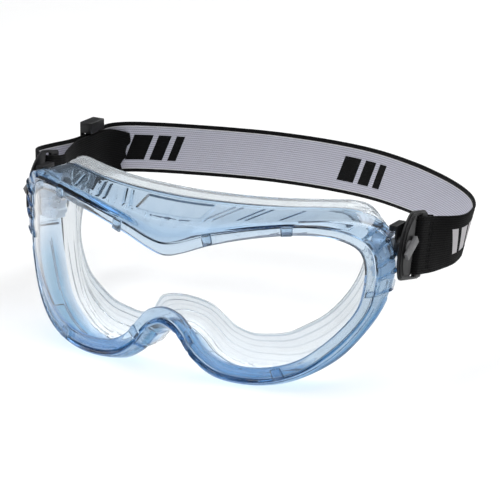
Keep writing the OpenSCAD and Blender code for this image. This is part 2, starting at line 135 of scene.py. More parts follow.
# Route of the strap's middle line from its sewn end to its cut end
STRAP = [
    [94, 73.5, 57.9], [93.1, 69, 58.6], [91.6, 64.5, 59.4], [89.3, 60.5, 60.1], [88.5, 56.3, 60.8],
    [88.4, 51.4, 61.8], [88.6, 48.7, 62.4], [89.3, 47.6, 62.6], [90.5, 47, 62.75],
    [91.7, 47.6, 62.6], [92.4, 48.7, 62.4], [92.6, 51.4, 61.8], [92.7, 56.3, 60.8], [93.2, 60.6, 60],
    [94, 65.3, 59.2], [95.1, 70.3, 58.6], [96.1, 76, 58.1], [95.9, 83, 57.8], [93.4, 93.5, 57.9],
    [87.8, 103.5, 58.4], [78.6, 112.8, 59], [65, 122, 59.8], [47, 131.5, 60.4], [25, 139.5, 60.8],
    [0, 143.5, 60.9], [-25, 143.3, 60.8], [-48, 140, 60.5], [-68, 134.8, 60.4], [-84, 129.4, 60.3],
    [-95, 124, 60.2], [-100.6, 117.8, 60], [-101.9, 110, 59.3], [-101.9, 101, 59],
    [-101.9, 93, 59], [-102.7, 86, 59.2], [-104.2, 78, 59.6], [-105, 70, 60.1],
    [-104, 63.5, 60.7], [-101, 58.3, 61.2], [-96.8, 54.2, 61.7], [-93.6, 51, 62],
    [-92.3, 48.5, 62.4], [-91.7, 47.6, 62.6], [-90.5, 47, 62.75], [-89.3, 47.6, 62.6],
    [-88.6, 48.7, 62.4], [-88.4, 51.4, 61.8], [-88.4, 57.5, 60.7], [-89.3, 62.8, 59.9],
    [-92.2, 69, 59.4], [-95.5, 77, 59.1], [-98.2, 85.5, 59], [-98.9, 93, 59], [-98.9, 101, 59],
    [-98.9, 110, 59], [-98, 116, 57.6], [-95.2, 121.5, 55.4],
]
STRAP_W = 24
STRAP_T = 1.15


# ---------------------------------------------------------------- geometry helpers

def spline(a, b, c, d, u):
    """Point on a Catmull-Rom curve through a, b, c and d, at u from b to c."""
    return (2 * b + (c - a) * u + (2 * a - 5 * b + 4 * c - d) * u * u
            + (3 * b - a - 3 * c + d) * u ** 3) / 2


def ring(points, s):
    """Points of a whole outline at stations s, which run round from 0 to 2 * LAST."""
    p = np.array(points, float)
    flip = np.array([-1] + [1] * (p.shape[1] - 1))
    p = np.vstack([p[1] * flip, p, p[-2] * flip])
    s = np.asarray(s, float) % (2 * LAST)
    t = np.where(s <= LAST, s, 2 * LAST - s)
    i = np.minimum(t.astype(int), LAST - 1)
    out = spline(p[i], p[i + 1], p[i + 2], p[i + 3], (t - i)[..., None])
    out[..., 0] = np.where(s <= LAST, out[..., 0], -out[..., 0])
    return out


def front(x):
    """Depth of the lens's front bend at a distance from the middle."""
    return BEND_2 * x ** 2 + BEND_4 * x ** 4


def bent(p, d):
    """Points given as x and z, set back by d from the lens's bend."""
    return np.stack([p[..., 0], front(p[..., 0]) + d, p[..., 1]], -1)


def unit(v):
    """Vectors scaled to a length of 1."""
    return v / np.maximum(np.linalg.norm(v, axis=-1, keepdims=True), 1e-9)


def inwards(p, q, d):
    """Points moved by d in the XZ plane towards others."""
    return p + unit((q - p) * [1, 0, 1]) * d


def mix(a, b, u):
    """The share u of the way from a to b."""
    return a * (1 - u) + b * u


def smooth(low, high, x):
    """A soft step from 0 at low to 1 at high."""
    t = np.clip((x - low) / (high - low), 0, 1)
    return t * t * (3 - 2 * t)


def length_along(points):
    """The distance from the first point to each point, along the line through them."""
    steps = np.linalg.norm(np.diff(points, axis=0), axis=1)
    return np.concatenate([[0], np.cumsum(steps)])


# A rounded corner takes at most this share of each side beside it, and its points are
# counted as places up to this far before and after its own number
CORNER_MOST = 0.45
CORNER_PLACE = 0.1


def rounded(corners, radii, spans, arc=3):
    """Closed sections with rounded corners: an array of (stations, points, 3).
    spans[i] is the number of points along the side that follows corner i.
    Also gives each point's place, counted in corners."""
    rows, places = [], []
    count = len(corners)
    for i, here in enumerate(corners):
        before, after = corners[i - 1], corners[(i + 1) % count]
        next_r = radii[(i + 1) % count]
        la = np.linalg.norm(before - here, axis=-1, keepdims=True)
        lb = np.linalg.norm(after - here, axis=-1, keepdims=True)
        r = np.minimum(radii[i], CORNER_MOST * np.minimum(la, lb))
        a = here + unit(before - here) * r
        b = here + unit(after - here) * r
        for u in np.linspace(0, 1, arc + 1):
            rows.append(mix(mix(a, here, u), mix(here, b, u), u))
            places.append(i + 2 * CORNER_PLACE * (u - 0.5))
        c = after + unit(here - after) * np.minimum(next_r, CORNER_MOST * lb)
        for u in np.linspace(0, 1, spans[i] + 2)[1:-1]:
            rows.append(mix(b, c, u))
            places.append(i + CORNER_PLACE + (1 - 2 * CORNER_PLACE) * u)
    return np.stack(rows, 1), np.array(places)


def outward_normals(skin, picked):
    """Unit normals of a closed skin's points, which point outwards at the picked columns."""
    step_s = np.roll(skin, -1, 0) - np.roll(skin, 1, 0)
    step_d = np.roll(skin, -1, 1) - np.roll(skin, 1, 1)
    normal = unit(np.cross(step_s, step_d))
    centre = skin.mean(1, keepdims=True)
    inside_out = (normal[:, picked] * (skin[:, picked] - centre)).sum(-1).mean() < 0
    return -normal if inside_out else normal


def in_scene(name, data):
    """A new object that is linked to the scene."""
    obj = bpy.data.objects.new(name, data)
    bpy.context.scene.collection.objects.link(obj)
    return obj


@contextmanager
def editing(mesh):
    """A mesh opened for editing, which is written back at the end."""
    bm = bmesh.new()
    bm.from_mesh(mesh)
    yield bm
    bm.to_mesh(mesh)
    bm.free()


def new_object(name, verts, faces, materials=(), smooth_shading=True):
    """A mesh object in the scene, from points in metres."""
    mesh = bpy.data.meshes.new(name)
    faces = faces.tolist() if isinstance(faces, np.ndarray) else faces
    mesh.from_pydata(np.asarray(verts, float).tolist(), [], faces)
    mesh.validate()
    obj = in_scene(name, mesh)
    for m in materials:
        mesh.materials.append(m)
    if smooth_shading:
        mesh.polygons.foreach_set("use_smooth", [True] * len(mesh.polygons))
    outward(obj)
    return obj


def outward(obj):
    """Points every face of a closed mesh to its outside."""
    with editing(obj.data) as bm:
        bmesh.ops.recalc_face_normals(bm, faces=bm.faces)


def grid_faces(n, m, closed_n=True, closed_m=True):
    """Quads over n rows of m points each, row after row."""
    rows = n if closed_n else n - 1
    cols = m if closed_m else m - 1
    i, j = np.meshgrid(np.arange(rows), np.arange(cols), indexing="ij")
    i2, j2 = (i + 1) % n, (j + 1) % m
    return np.stack([i * m + j, i * m + j2, i2 * m + j2, i2 * m + j], -1).reshape(-1, 4)


def paint(obj, name, values):
    """Keeps a number for each vertex, which a material can read."""
    layer = obj.data.attributes.new(name, "FLOAT", "POINT")
    layer.data.foreach_set("value", values.astype(np.float32).ravel())


def placed(points):
    """Outline points in millimetres as positions in the part's frame."""
    return np.asarray(points, float).reshape(-1, 3) * MM + ORIGIN


def apply_modifiers(obj):
    """Turns an object's modifiers into its mesh."""
    graph = bpy.context.evaluated_depsgraph_get()
    mesh = bpy.data.meshes.new_from_object(obj.evaluated_get(graph))
    obj.modifiers.clear()
    obj.data = mesh


def bevel(obj, width, segments=3, angle=35):
    """Rounds the edges that turn further than the angle, to a width in millimetres."""
    m = obj.modifiers.new("Bevel", "BEVEL")
    m.width = width * MM
    m.segments = segments
    m.limit_method = "ANGLE"
    m.angle_limit = math.radians(angle)
    apply_modifiers(obj)
    smooth_by_angle(obj)


def smooth_by_angle(obj, degrees=40):
    """Smooth shading that keeps the edges that turn further than this."""
    mesh = obj.data
    mesh.polygons.foreach_set("use_smooth", [True] * len(mesh.polygons))
    with editing(mesh) as bm:
        for e in bm.edges:
            if len(e.link_faces) == 2:
                e.smooth = e.calc_face_angle(0) < math.radians(degrees)


# Points closer than this, in metres, are one point, and faces that turn by less than this
# many degrees are one face
SAME_POINT = 1e-6
FLAT_ANGLE = 4


def softened(node, width, material, segments=3):
    """A copy of a CAD node with rounded edges, which stands for it."""
    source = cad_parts[node]
    obj = in_scene(node + "_moulded", source.data.copy())
    obj.data.materials.clear()
    obj.data.materials.append(material)
    with editing(obj.data) as bm:
        bmesh.ops.remove_doubles(bm, verts=bm.verts, dist=SAME_POINT)
        bmesh.ops.dissolve_limit(bm, angle_limit=math.radians(FLAT_ANGLE),
                                 verts=bm.verts, edges=bm.edges)
    bevel(obj, width, segments)
    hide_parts(node)
    return obj


# ---------------------------------------------------------------- materials

class Nodes:
    """Short calls for the nodes of one material."""

    def __init__(self, name):
        self.mat = bpy.data.materials.new(name)
        self.mat.use_nodes = True
        self.tree = self.mat.node_tree
        self.bsdf = self.tree.nodes["Principled BSDF"]
        self.out = self.tree.nodes["Material Output"]

    def add(self, kind, **values):
        node = self.tree.nodes.new("ShaderNode" + kind)
        for key, value in values.items():
            setattr(node, key, value)
        return node

    def link(self, source, target):
        self.tree.links.new(source, target)

    def math(self, operation, *terms):
        """One sum, from numbers or sockets."""
        node = self.add("Math", operation=operation)
        for socket, term in zip(node.inputs, terms):
            if isinstance(term, (int, float)):
                socket.default_value = term
            else:
                self.link(term, socket)
        return node.outputs[0]

    def noise(self, scale, detail=3, roughness=0.5, vector=None):
        node = self.add("TexNoise")
        node.inputs["Scale"].default_value = scale
        node.inputs["Detail"].default_value = detail
        node.inputs["Roughness"].default_value = roughness
        self.link(vector or self.place(), node.inputs["Vector"])
        return node.outputs["Fac"]

    def place(self):
        """The object's own coordinates, from one shared node."""
        if not hasattr(self, "coords"):
            self.coords = self.add("TexCoord").outputs["Object"]
        return self.coords

    def ranged(self, value, low, high, from_low=0.0, from_high=1.0):
        """A value that runs from from_low to from_high, moved to run from low to high."""
        node = self.add("MapRange")
        self.link(value, node.inputs["Value"])
        node.inputs["From Min"].default_value = from_low
        node.inputs["From Max"].default_value = from_high
        node.inputs["To Min"].default_value = low
        node.inputs["To Max"].default_value = high
        return node.outputs["Result"]

    def blend(self, factor, a, b):
        """Colour a where the factor is 0 and b where it is 1."""
        node = self.add("Mix", data_type="RGBA")
        for socket, value in ((node.inputs[6], a), (node.inputs[7], b)):
            if isinstance(value, tuple):
                socket.default_value = (*value, 1)
            else:
                self.link(value, socket)
        self.link(factor, node.inputs[0])
        return node.outputs[2]

    def bump(self, height, strength, distance):
        node = self.add("Bump")
        node.inputs["Strength"].default_value = strength
        node.inputs["Distance"].default_value = distance
        self.link(height, node.inputs["Height"])
        self.link(node.outputs["Normal"], self.bsdf.inputs["Normal"])

    def set(self, **values):
        """Sets the shader's sockets by name, with _ for each space."""
        for key, value in values.items():
            socket = self.bsdf.inputs[key.replace("_", " ")]
            if isinstance(value, tuple):
                socket.default_value = (*value, 1)
            elif isinstance(value, (int, float)):
                socket.default_value = value
            else:
                self.link(value, socket)

    def absorb(self, colour, density):
        """Tints the light that passes through the solid."""
        node = self.add("VolumeAbsorption")
        node.inputs["Color"].default_value = (*colour, 1)
        node.inputs["Density"].default_value = density
        self.link(node.outputs[0], self.out.inputs["Volume"])


# The middle stretch of the noise, where most of its values lie
WEAR_RANGE = (0.3, 0.7)


def clear_plastic(name, tint, roughness, ior, colour, density, ripple=0.0, shade_tint=None, milk=0.0):
    """Clear moulded plastic: thin walls look pale, and edges take the colour of the volume.
    The tint given for painted shade is reached where the mesh's painted shade value is 1, and milk
    the share of light that the plastic scatters instead of letting it through."""
    n = Nodes(name)
    wear = n.noise(scale=90, detail=4)
    surface = n.blend(wear, tint, tuple(0.97 * c for c in tint))
    # Painted shade: the surface colour darkens towards the shade tint where the mesh's painted shade
    # value is high
    if shade_tint:
        painted_shade = n.add("Attribute", attribute_name="painted_shade").outputs["Fac"]
        surface = n.blend(painted_shade, surface, shade_tint)
    n.set(Base_Color=surface,
          Roughness=n.ranged(wear, roughness * 0.6, roughness * 1.5, *WEAR_RANGE),
          IOR=ior, Transmission_Weight=1.0 - milk)
    n.absorb(colour, density)
    if ripple:
        n.bump(n.noise(scale=260, detail=2), ripple, distance=0.0004)
    return n.mat


def frosted_plastic(name, tint, roughness, clearness):
    """Moulded plastic that lets light through but hides what lies behind it."""
    n = Nodes(name)
    wear = n.noise(scale=120, detail=4)
    n.set(Base_Color=n.blend(wear, tint, tuple(0.9 * c for c in tint)),
          Roughness=n.ranged(wear, roughness * 0.7, roughness * 1.3, *WEAR_RANGE),
          IOR=1.4, Transmission_Weight=clearness)
    n.bump(n.noise(scale=300, detail=3), strength=0.2, distance=0.0003)
    return n.mat


def black_plastic(name, colour, roughness, coat=0.25, gloss=0.5):
    """Black injection-moulded plastic with a fine grain and faint scuffs."""
    n = Nodes(name)
    grain = n.noise(scale=1800, detail=2)
    scuffs = n.noise(scale=140, detail=6, roughness=0.7)
    pale = tuple(c * 2.2 + 0.01 for c in colour)
    scuffed = n.ranged(scuffs, 0, 1, from_low=0.55, from_high=0.8)
    n.set(Base_Color=n.blend(scuffed, colour, pale),
          Roughness=n.ranged(scuffs, roughness * 0.8, roughness * 1.35, *WEAR_RANGE),
          Specular_IOR_Level=gloss, Coat_Weight=coat, Coat_Roughness=0.12)
    n.bump(grain, strength=0.15, distance=0.00008)
    return n.mat


def steel(name):
    """Stamped steel with fine turned marks."""
    n = Nodes(name)
    marks = n.add("TexWave", bands_direction="X")
    marks.inputs["Scale"].default_value = 900
    marks.inputs["Distortion"].default_value = 3
    n.link(n.place(), marks.inputs["Vector"])
    n.set(Base_Color=n.blend(marks.outputs["Fac"], (0.55, 0.55, 0.57), (0.66, 0.66, 0.68)),
          Metallic=1.0, Roughness=n.ranged(marks.outputs["Fac"], 0.25, 0.38))
    return n.mat


# The webbing's rib and pick pitches, and the pale line and the selvedge along its edges, as
# distances from its middle
RIB_PITCH = 1.0
PICK_PITCH = 0.9
EDGE_LINE = 10.2
EDGE_PALE = (0.72, 0.71, 0.72)
# Slanted bars woven into each face: where the first group begins, how often a group comes,
# each bar's start and width in it, the slant, and half the bars' height
MARK_START = 39.2
OUTER_MARK_START = 44.2
MARK_PERIOD = 104.5
MARK_BARS = [(0, 4), (6.5, 6), (15, 9)]
MARK_SLANT = 0.4
MARK_HALF_H = 6


def woven(name, ground, groove, sheen, mark, mark_start, edge=None):
    """Woven elastic webbing. Its UV map holds millimetres along and across the strap.
    ground and groove are the rib's and the gap's colours, mark the colour of the slanted
    bars woven into it, mark_start where the first of them begins, and edge the selvedge's."""
    n = Nodes(name)
    uv = n.add("UVMap", uv_map="strap")
    axes = n.add("SeparateXYZ")
    n.link(uv.outputs[0], axes.inputs[0])
    along, across = axes.outputs[0], axes.outputs[1]
    uneven = n.noise(scale=35, detail=3, vector=uv.outputs[0])
    wobble = n.math("MULTIPLY_ADD", uneven, 0.5, across)
    rib_phase = n.math("MULTIPLY", wobble, 2 * math.pi / RIB_PITCH)
    rib = n.ranged(n.math("SINE", rib_phase), 0, 1, -1, 1)
    turn = n.math("MULTIPLY", n.math("FLOOR", n.math("DIVIDE", wobble, RIB_PITCH)), math.pi)
    pick_phase = n.math("MULTIPLY_ADD", along, 2 * math.pi / PICK_PITCH, turn)
    pick = n.ranged(n.math("SINE", pick_phase), 0, 1, -1, 1)
    height = n.math("MULTIPLY_ADD", pick, 0.35, rib)
    shade = n.ranged(height, 0, 1, from_low=0.15)
    colour = n.blend(shade, groove, ground)
    colour = n.blend(bars(n, along, across, mark_start), colour, mark)
    if edge:
        far = n.math("ABSOLUTE", across)
        on_line = n.ranged(far, 0, 1, EDGE_LINE - 0.35, EDGE_LINE - 0.2)
        on_edge = n.ranged(far, 0, 1, EDGE_LINE, EDGE_LINE + 0.12)
        colour = n.blend(on_line, colour, EDGE_PALE)
        colour = n.blend(on_edge, colour, edge)
    n.set(Base_Color=colour, Roughness=n.ranged(shade, 0.95, 0.8),
          Sheen_Weight=sheen, Sheen_Roughness=0.5, Specular_IOR_Level=0.12)
    n.bump(height, strength=0.55, distance=0.00018)
    return n.mat


def bars(n, along, across, start_at):
    """Groups of slanted bars that repeat along the strap: 1 on a bar and 0 off it."""
    slanted = n.math("MULTIPLY_ADD", across, MARK_SLANT, along)
    place = n.math("FLOORED_MODULO", n.math("SUBTRACT", slanted, start_at), MARK_PERIOD)
    total = None
    for start, width in MARK_BARS:
        middle = start + width / 2
        off = n.math("ABSOLUTE", n.math("SUBTRACT", place, middle))
        one = n.math("LESS_THAN", off, width / 2)
        total = one if total is None else n.math("ADD", total, one)
    inside = n.math("LESS_THAN", n.math("ABSOLUTE", across), MARK_HALF_H)
    return n.math("MULTIPLY", total, inside)


BLUE = clear_plastic(
    "frame_vinyl", tint=(0.74, 0.825, 0.90), roughness=0.03, ior=1.47,
    colour=(0.13, 0.44, 0.70), density=135, ripple=0.05, shade_tint=(0.08, 0.28, 0.50),
)
BLUE_INNER = clear_plastic(
    "vent_vinyl", tint=(0.985, 0.99, 1.0), roughness=0.02, ior=1.01,
    colour=(0.3, 0.6, 0.85), density=12,
)
BLUE_BLOCK = frosted_plastic("anchor_vinyl", (0.80, 0.90, 1.0), roughness=0.3, clearness=0.6)
CLEAR = clear_plastic(
    "lens_polycarbonate", tint=(0.985, 0.99, 0.995), roughness=0.012, ior=1.45,
    colour=(0.8, 0.9, 0.95), density=12,
)
SOFT = clear_plastic(
    "seal_elastomer", tint=(0.92, 0.94, 0.95), roughness=0.05, ior=1.38,
    colour=(0.5, 0.6, 0.68), density=80, shade_tint=(0.14, 0.22, 0.30), milk=0.14,
)
BLACK = black_plastic("clip_plastic", (0.008, 0.008, 0.009), roughness=0.36, coat=0.0, gloss=0.3)
GREY = black_plastic("post_plastic", (0.13, 0.13, 0.135), roughness=0.42, coat=0.1)
STEEL = steel("washer_steel")
STRAP_OUT = woven(
    "strap_black_face", ground=(0.004, 0.004, 0.0045), groove=(0.001, 0.001, 0.001),
    sheen=0.012, mark=(0.62, 0.60, 0.62), mark_start=OUTER_MARK_START,
)
STRAP_IN = woven(
    "strap_grey_face", ground=(0.62, 0.615, 0.70), groove=(0.37, 0.368, 0.43),
    sheen=0.05, mark=(0.003, 0.003, 0.0035), mark_start=MARK_START, edge=(0.003, 0.003, 0.0035),
)
THREAD = black_plastic("thread", (0.008, 0.008, 0.009), roughness=0.7, coat=0.0, gloss=0.2)


# ---------------------------------------------------------------- frame skin

# Rings of points round the frame
STATIONS = 900
# The outer face's places on the section, counted in corners, with the depth at each: 0 at the
# edge of the lens, 1 at the crest and 2 at the rear
OUTER_PLACES = [2.6, 3, 4, 5.0]
OUTER_DEPTHS = [0, 0.1, 1, 2]
# How far a rib's side slopes each way from its edge, in millimetres, and how far a panel's
# sides slope, in stations and in depth
RIB_SLOPE = 0.4
PANEL_SLOPE = 0.04
PANEL_SLOPE_IN = 0.03
# A band of painted shade, a deeper blue low on the frame: it comes in between these stations, and
# between these places on the section it comes in and goes out again. Then how much of the painted
# shade the sides of the ribs and the panels take.
SHADE_STATIONS = (9.3, 11.4)
SHADE_IN = (3.4, 3.9)
SHADE_OUT = (4.6, 5.0)
FLANK_SHADE = 0.85


def stations(count):
    """Stations round the frame at equal steps along its crest."""
    s = np.linspace(0, 2 * LAST, 4001)
    run = length_along(ring(CREST, s))
    return np.interp(np.linspace(0, run[-1], count, endpoint=False), run, s)


def signed(s):
    """Stations counted both ways from the top middle."""
    return np.where(s > LAST, s - 2 * LAST, s)


# Raised ribs and sunk lines on the outer face. Each runs from one point to another, given
# as a station and a depth. Then come its width and its height in millimetres.
RIBS = [
    ((1.84, 1.14), (2.29, 1.72), 0.9, 0.25),
    ((2.13, 1.14), (2.58, 1.72), 0.9, 0.25),
    ((2.98, 1.14), (3.33, 1.7), 0.9, 0.25),
    ((3.27, 1.14), (3.62, 1.7), 0.9, 0.25),
    ((4.4, 1.15), (4.65, 1.65), 0.9, 0.25),
    ((7.48, 0.05), (7.5, 1.9), 1.0, 0.4),
    ((8.3, 0.1), (8.1, 1.9), 1.4, 0.9),
    ((8.9, 0.1), (8.7, 1.9), 1.2, 0.7),
    ((9.45, 0.1), (9.2, 1.9), 1.4, 0.9),
    ((10.15, 0.02), (9.95, 1.9), 1.2, 0.8),
    ((8.3, 0.92), (8.75, 0.88), 1.6, -0.6),
    ((18.3, 0.0), (18.2, 1.9), 0.8, -0.5),
    ((19.5, 0.0), (19.6, 1.9), 0.8, -0.5),
    ((0, 1.84), (6.4, 1.84), 0.8, 0.3),
    ((10.6, 1.6), (16.6, 1.6), 0.9, 0.5),
    ((10.4, 1.05), (20.5, 1.1), 1.1, 0.5),
    ((10.8, 0.5), (17.6, 0.5), 0.9, 0.4),
]
# Sunk or raised panels: first and last station, first and last depth, height in millimetres
PANELS = [
    (-1.6, 1.6, 1.14, 1.72, -0.35),
    (5.1, 6.75, 0.35, 0.95, -0.6),
    (7.5, 10.05, 0.12, 1.95, 0.4),
    (10.7, 12.6, 1.15, 1.5, -0.5),
    (13.2, 15.8, 1.15, 1.5, -0.4),
]


def slope_line(share):
    """1 halfway up the side of a rib or a panel, and 0 at its foot and on its top."""
    return 4 * share * (1 - share)


def relief(s, depth, along, across):
    """Height of the outer face's detail over the plain skin, in millimetres, and how near
    each point is to the side of a rib or a panel, where shade is painted: 1 on it and 0 away from
    it."""
    side = np.abs(signed(s))
    total = np.zeros(np.broadcast(side, depth).shape)
    flank_shade = total.copy()
    for a, b, width, height in RIBS:
        start = np.interp(a[0], *along)
        dx = np.interp(side, *along) - start
        end_x = np.interp(b[0], *along) - start
        dy = (depth - a[1]) * across
        end_y = (b[1] - a[1]) * across
        t = np.clip((dx * end_x + dy * end_y) / (end_x ** 2 + end_y ** 2), 0, 1)
        gap = np.hypot(dx - t * end_x, dy - t * end_y)
        share = 1 - smooth(width / 2 - RIB_SLOPE, width / 2 + RIB_SLOPE, gap)
        total += height * share
        flank_shade = np.maximum(flank_shade, slope_line(share))
    for s0, s1, d0, d1, height in PANELS:
        share = 1 - smooth(s1 - PANEL_SLOPE, s1 + PANEL_SLOPE, side)
        if s0 > 0:
            share = share * smooth(s0 - PANEL_SLOPE, s0 + PANEL_SLOPE, side)
        past_front = smooth(d0 - PANEL_SLOPE_IN, d0 + PANEL_SLOPE_IN, depth)
        past_rear = smooth(d1 - PANEL_SLOPE_IN, d1 + PANEL_SLOPE_IN, depth)
        share = share * past_front * (1 - past_rear)
        total += height * share
        flank_shade = np.maximum(flank_shade, slope_line(share))
    return total, flank_shade


def frame_skin():
    """The clear blue moulding round the lens, with its groove, ribs and panels."""
    s = stations(STATIONS)
    lip, edge = ring(LIP, s), ring(WALL, s)
    crest, rear = ring(CREST, s), ring(REAR, s)
    middle = bent(lip, 0)
    rim = bent(mix(edge, crest[:, [0, 2]], 0.25), -GROOVE_D - 0.9)
    corners = [
        middle,
        bent(edge, 0),
        bent(edge, -GROOVE_D),
        rim,
        crest,
        rear,
        inwards(rear, middle, WALL_T),
        inwards(crest, middle, WALL_T) + [0, WALL_T, 0],
        bent(mix(edge, lip, 0.35), WALL_T + 0.3),
        bent(lip, WALL_T - 0.3),
    ]
    radii = [0.6, 0.25, 0.35, 0.8, 2.4, 0.7, 0.5, 1.6, 1.0, 0.6]
    spans = [2, 1, 1, 14, 34, 1, 5, 2, 1, 1]
    skin, place = rounded(corners, radii, spans)
    outer = np.where((place > OUTER_PLACES[0]) & (place < OUTER_PLACES[-1]))[0]
    depth = np.interp(place[outer], OUTER_PLACES, OUTER_DEPTHS)
    across = np.linalg.norm(rear - crest, axis=1)[:, None]
    marks = np.linspace(0, LAST, 400)
    run = length_along(ring(CREST, marks))
    height, flank_shade = relief(s[:, None], depth[None, :], (marks, run), across)
    height *= smooth(0, 0.08, depth) * (1 - smooth(1.92, 2.0, depth))
    normal = outward_normals(skin, outer)
    skin[:, outer] += normal[:, outer] * height[..., None]
    skin[..., 2] = np.maximum(skin[..., 2], STAND_Z)
    obj = new_object("frame_skin", placed(skin), grid_faces(*skin.shape[:2]), [BLUE])
    # Painted shade: a deeper blue band low on the outer rim, and dark lines along the sides of the
    # ribs and panels
    low = smooth(*SHADE_STATIONS, np.abs(signed(s)))
    shade_band = smooth(*SHADE_IN, place) * (1 - smooth(*SHADE_OUT, place))
    painted_shade = low[:, None] * shade_band[None, :]
    painted_shade[:, outer] = np.maximum(painted_shade[:, outer], flank_shade * FLANK_SHADE)
    paint(obj, "painted_shade", painted_shade)
    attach(obj, "goggle_body")
    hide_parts("frame_shell")
    obj.visible_shadow = False


def lens_hooks():
    """Small tabs that reach from the rim over the edge of the lens."""
    spots = HOOKS + [(2 * LAST - s, half_w, reach) for s, half_w, reach in HOOKS]
    near = 0.1
    for number, (s, half_w, reach) in enumerate(spots, 1):
        before, after = ring(WALL, np.array([s - near, s + near]))
        half = half_w / np.linalg.norm(after - before) * 2 * near
        verts = []
        for end in (s - half, s + half):
            at = np.array([end])
            lip, edge, crest = ring(LIP, at), ring(WALL, at), ring(CREST, at)
            outer = mix(edge, crest[:, [0, 2]], 0.18)
            tip = mix(edge, lip, reach)
            back = -GROOVE_D + 0.1
            verts += [
                bent(outer, back)[0], bent(tip, back)[0],
                bent(tip, -GROOVE_D - HOOK_T * 0.8)[0], bent(outer, -GROOVE_D - HOOK_T)[0],
            ]
        faces = [[0, 1, 2, 3], [4, 5, 6, 7], [0, 1, 5, 4], [1, 2, 6, 5], [2, 3, 7, 6], [3, 0, 4, 7]]
        obj = new_object(f"lens_hook_{number:02d}", placed(verts), faces, [BLUE])
        bevel(obj, 0.35)
        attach(obj, "goggle_body")
        obj.visible_shadow = False


# ---------------------------------------------------------------- lens and seal

# Share of the way from the groove's wall to the lip where the lens ends, its grid, and how
# far round its bend the columns reach, in degrees
LENS_EDGE = 0.12
LENS_COLUMNS = 200
LENS_ROWS = 40
LENS_TURN = 88.5


def lens_sheet():
    """Curved sheet of even thickness whose outline follows the groove."""
    t = np.linspace(0, LAST, 800)
    outline = mix(ring(WALL, t), ring(LIP, t), LENS_EDGE)
    turn = int(outline[:, 0].argmax())
    far = outline[turn, 0]
    upper, lower = outline[:turn + 1], outline[turn:][::-1]
    angle = np.linspace(-1, 1, LENS_COLUMNS) * math.radians(LENS_TURN)
    x = far * np.sin(angle)
    top = np.interp(np.abs(x), upper[:, 0], upper[:, 1])
    low = np.interp(np.abs(x), lower[:, 0], lower[:, 1])
    v = np.linspace(0, 1, LENS_ROWS)
    z = low[:, None] + (top - low)[:, None] * v
    slope = 2 * BEND_2 * x + 4 * BEND_4 * x ** 3
    normal = unit(np.stack([slope, -np.ones_like(x), np.zeros_like(x)], -1))
    centre = np.stack([x, front(x) - GROOVE_D / 2, np.zeros_like(x)], -1)
    faces_at = []
    for side in (1, -1):
        p = np.repeat((centre + normal * side * LENS_T / 2)[:, None], LENS_ROWS, 1)
        p[..., 2] = z
        faces_at.append(p)
    loop = np.concatenate([faces_at[0], faces_at[1][:, ::-1]], 1)
    n, m = loop.shape[:2]
    verts = loop.reshape(-1, 3)
    faces = grid_faces(n, m, closed_n=False).tolist()
    for row in (0, n - 1):
        for j in range(LENS_ROWS - 1):
            a = row * m + j
            b = row * m + (m - 1 - j)
            faces.append([a, a + 1, b - 1, b])
    obj = new_object("lens_sheet", placed(verts), faces, [CLEAR])
    bevel(obj, 0.25, segments=2, angle=60)
    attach(obj, "goggle_body")
    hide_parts("lens")
    obj.visible_shadow = False


SEAL_T = 1.3
SEAL_STATIONS = 700
# The stretch of the section, counted in corners, that has steps moulded into it, how many
# steps there are from one corner to the next, and how far they rise and the lines sink
SEAL_STEPPED = (0.15, 1.85)
SEAL_STEPS = 2.5
SEAL_STEP_H = 0.25
# Moulded lines on the lip: place on its section, counted in corners, half width and strength, which
# sets both how far each line sinks and how dark the shade painted along it is
SEAL_LINES = [(0.3, 0.025, 0.3), (0.6, 0.025, 0.25), (1.0, 0.05, 0.8), (1.22, 0.025, 0.4),
              (1.4, 0.025, 0.6), (1.58, 0.025, 0.5), (1.74, 0.025, 0.8), (1.88, 0.03, 1.0),
              (2.0, 0.06, 1.0)]


def seal_lip():
    """Soft stepped lip that meets the face."""
    s = stations(SEAL_STATIONS)
    first, last = SEAL_STEPPED
    rear, out, inner = ring(REAR, s), ring(SEAL_OUT, s), ring(SEAL_IN, s)
    middle = bent(ring(LIP, s), 0)
    back = np.array([0, SEAL_T, 0])
    share = SEAL_T / np.linalg.norm((inner - out)[:, [0, 2]], axis=1, keepdims=True)
    corners = [
        rear + [0, 0.15, 0],
        out,
        inner,
        inner - back,
        mix(out, inner, share) - back,
        inwards(rear, middle, SEAL_T) + [0, 0.15, 0],
    ]
    radii = [0.3, 1.8, 0.6, 0.5, 1.2, 0.3]
    spans = [36, 44, 0, 8, 4, 0]
    skin, place = rounded(corners, radii, spans)
    face = np.where((place > first) & (place < last))[0]
    normal = outward_normals(skin, face)
    fade = smooth(first, first + 0.2, place[face]) * (1 - smooth(last - 0.2, last, place[face]))
    below_brow = smooth(5.5, 7.5, np.abs(signed(s)))[:, None]
    line = np.zeros(len(place))
    for at, half_w, strength in SEAL_LINES:
        line = np.maximum(line, strength * (1 - smooth(0, half_w, np.abs(place - at))))
    wave = np.sin(place[face] * 2 * math.pi * SEAL_STEPS)
    step = SEAL_STEP_H * wave * fade - SEAL_STEP_H * line[face]
    skin[:, face] += normal[:, face] * (step * below_brow)[..., None]
    skin[..., 2] = np.maximum(skin[..., 2], STAND_Z)
    obj = new_object("seal_lip", placed(skin), grid_faces(*skin.shape[:2]), [SOFT])
    # Painted shade along the moulded lines, fainter at the top middle
    paint(obj, "painted_shade", line * (0.15 + 0.85 * below_brow))
    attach(obj, "goggle_body")
    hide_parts("face_seal")
    obj.visible_shadow = False


# ---------------------------------------------------------------- strap

# Route parameters where the webbing begins, behind the left clip, and at its cut end, and
# the distance between its rings of points in millimetres
STRAP_STARTS_AT = 2.6
STRAP_ENDS_AT = len(STRAP) - 1
ROUTE_STEP = 0.7


